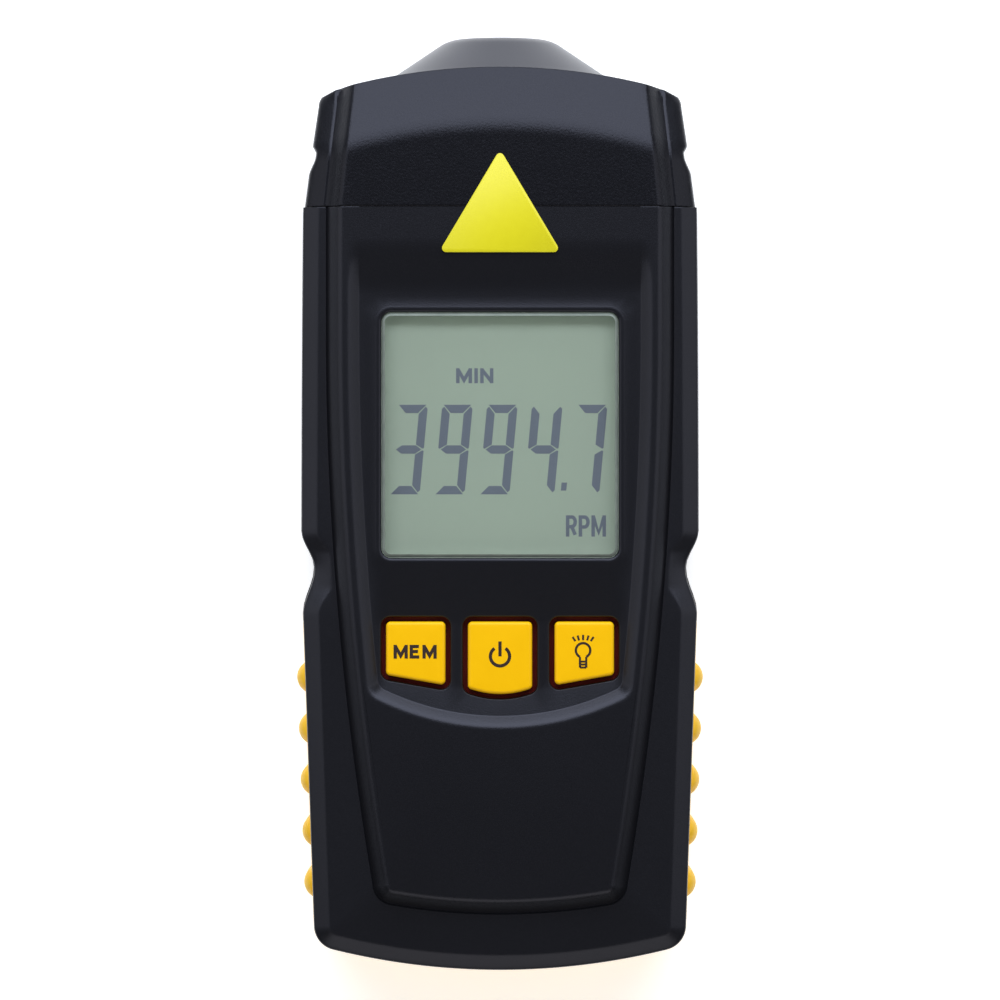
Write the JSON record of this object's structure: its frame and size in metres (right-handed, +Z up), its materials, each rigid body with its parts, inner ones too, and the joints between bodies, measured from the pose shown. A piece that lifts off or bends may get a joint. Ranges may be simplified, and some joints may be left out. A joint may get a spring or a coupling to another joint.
{
  "type": "laser tachometer",
  "caption": "Handheld non-contact tachometer with a digital display, a row of keys, a lens hood at the head and a slide-off battery cover.",
  "frame": {"origin": "under the middle of the instrument, on the surface it lies on", "axes": "+X to the right of the display, +Y towards the lens hood, +Z up out of the display"},
  "size_m": [0.0594, 0.1352, 0.037],
  "materials": {
    "black_case": "fine moulded satin",
    "black_hood": "smooth satin",
    "orange_cover": "satin",
    "orange_key": "gloss",
    "clear_window": "clear",
    "display_glass": "satin",
    "white_plastic": "satin",
    "contact_rubber": "matte",
    "switch_plastic": "satin",
    "circuit_board": "satin",
    "plated_steel": "plated",
    "red_filter": "clear",
    "turned_brass": "turned",
    "cell_jacket": "film"
  },
  "bodies": {
    "housing": {"front_shell": "black_case", "rear_shell": "black_case", "head_cap": "black_case", "lens_hood": "black_hood", "display_window": "clear_window", "lcd_glass": "display_glass", "lcd_frame": "white_plastic", "backlight_panel": "white_plastic", "zebra_strips": "contact_rubber", "memory_switch": "switch_plastic", "power_switch": "switch_plastic", "light_switch": "switch_plastic", "main_board": "circuit_board", "controller_chip": "switch_plastic", "crystal_can": "plated_steel", "snout_window": "red_filter", "optics_holder": "switch_plastic", "laser_module": "turned_brass", "receiver_lens": "clear_window", "photodiode": "plated_steel", "sensor_board": "circuit_board", "left_cell": "cell_jacket", "middle_cell": "cell_jacket", "right_cell": "cell_jacket", "contact_springs": "plated_steel", "contact_plates": "plated_steel", "case_screws": "plated_steel", "board_screws": "plated_steel", "head_screws": "plated_steel"},
    "memory_key": {"memory_key": "orange_key", "memory_plunger": "switch_plastic"},
    "power_key": {"power_key": "orange_key", "power_plunger": "switch_plastic"},
    "light_key": {"light_key": "orange_key", "light_plunger": "switch_plastic"},
    "battery_cover": {"battery_cover": "orange_cover"}
  },
  "joints": [
    {"name": "memory_press", "type": "slide", "parent": "housing", "child": "memory_key", "axis": [0, 0, -1], "range_m": [0, 0.0008], "stiffness_N_per_m": 1500},
    {"name": "power_press", "type": "slide", "parent": "housing", "child": "power_key", "axis": [0, 0, -1], "range_m": [0, 0.0008], "stiffness_N_per_m": 1500},
    {"name": "light_press", "type": "slide", "parent": "housing", "child": "light_key", "axis": [0, 0, -1], "range_m": [0, 0.0008], "stiffness_N_per_m": 1500},
    {"name": "cover_slide", "type": "slide", "parent": "housing", "child": "battery_cover", "axis": [0, -1, 0], "range_m": [0, 0.055]}
  ]
}
